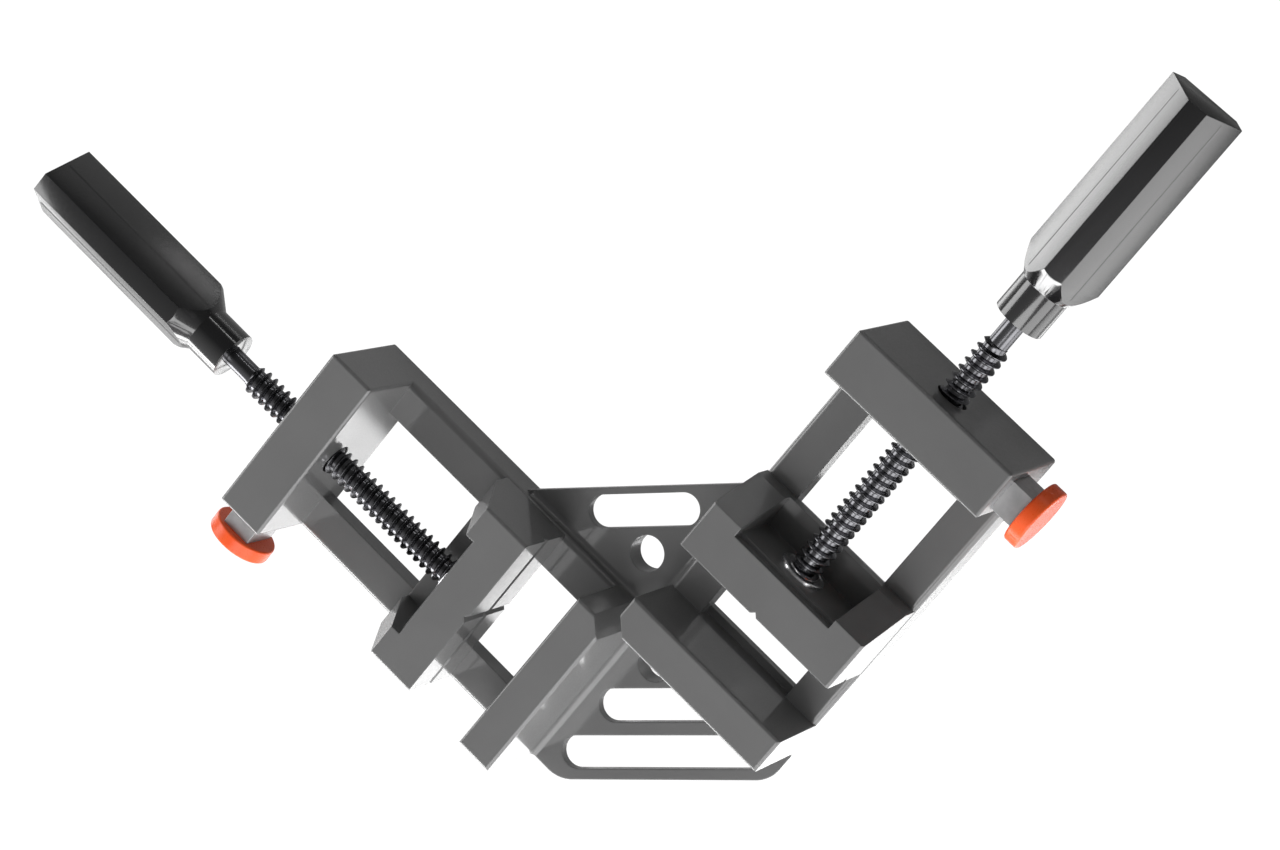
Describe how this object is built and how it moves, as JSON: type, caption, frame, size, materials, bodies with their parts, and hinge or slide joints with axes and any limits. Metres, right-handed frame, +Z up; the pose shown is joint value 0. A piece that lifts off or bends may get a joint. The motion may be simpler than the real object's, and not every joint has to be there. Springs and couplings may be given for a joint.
{
  "type": "corner clamp",
  "caption": "Cast V-shaped corner clamp with twin spindles, sliding jaws on rails, six-sided handles and push-button quick release, on a slotted base plate.",
  "frame": {"origin": "inside corner where the planes of the two fixed clamping faces meet, on the axis of the corner hole, at the underside of the base", "axes": "+X along the right arm and its spindle, +Y along the left arm and its spindle, +Z up from the bench"},
  "size_m": [0.38, 0.38, 0.05],
  "materials": {
    "cast_paint": "semi-gloss dark grey paint on die-cast alloy",
    "zinc_steel": "zinc-plated steel",
    "bright_steel": "bright zinc-plated washer",
    "black_steel": "black-oxide rolled trapezoidal thread",
    "handle_plastic": "glossy moulded plastic",
    "grey_metal": "bare die-cast zinc alloy, satin",
    "button_plastic": "glossy orange moulded plastic"
  },
  "bodies": {
    "frame": {"body_casting": "cast_paint", "right_stop_pin": "zinc_steel", "right_return_spring": "zinc_steel", "left_stop_pin": "zinc_steel", "left_return_spring": "zinc_steel"},
    "right_jaw": {"right_moving_jaw": "cast_paint", "right_jaw_keeper": "zinc_steel", "right_keeper_screws": "zinc_steel", "right_thrust_washer": "bright_steel", "right_journal_pin": "zinc_steel"},
    "right_screw": {"right_spindle": "black_steel", "right_handle": "handle_plastic"},
    "right_release": {"right_release_slider": "grey_metal", "right_release_button": "button_plastic"},
    "left_jaw": {"left_moving_jaw": "cast_paint", "left_jaw_keeper": "zinc_steel", "left_keeper_screws": "zinc_steel", "left_thrust_washer": "bright_steel", "left_journal_pin": "zinc_steel"},
    "left_screw": {"left_spindle": "black_steel", "left_handle": "handle_plastic"},
    "left_release": {"left_release_slider": "grey_metal", "left_release_button": "button_plastic"}
  },
  "joints": [
    {"name": "right_jaw_slide", "type": "slide", "parent": "frame", "child": "right_jaw", "axis": [1, 0, 0], "range_m": [-0.0272, 0.0522]},
    {"name": "right_handle_turn", "type": "hinge", "parent": "right_jaw", "child": "right_screw", "pos_m": [0.1, -0.054, 0.0323], "axis": [1, 0, 0], "range_deg": [-2798.71, 5370.14]},
    {"name": "right_release_press", "type": "slide", "parent": "frame", "child": "right_release", "axis": [0, 1, 0], "range_m": [0, 0.005], "stiffness_N_per_m": 900, "springref_m": -0.006, "deforming": ["right_return_spring"]},
    {"name": "left_jaw_slide", "type": "slide", "parent": "frame", "child": "left_jaw", "axis": [0, 1, 0], "range_m": [-0.0272, 0.0522]},
    {"name": "left_handle_turn", "type": "hinge", "parent": "left_jaw", "child": "left_screw", "pos_m": [-0.054, 0.1, 0.0323], "axis": [0, 1, 0], "range_deg": [-2798.71, 5370.14]},
    {"name": "left_release_press", "type": "slide", "parent": "frame", "child": "left_release", "axis": [1, 0, 0], "range_m": [0, 0.005], "stiffness_N_per_m": 900, "springref_m": -0.006, "deforming": ["left_return_spring"]}
  ],
  "couplings": [
    {"joint": "right_handle_turn", "follows": "right_jaw_slide", "rad_per_m": 1795.2},
    {"joint": "left_handle_turn", "follows": "left_jaw_slide", "rad_per_m": 1795.2}
  ]
}
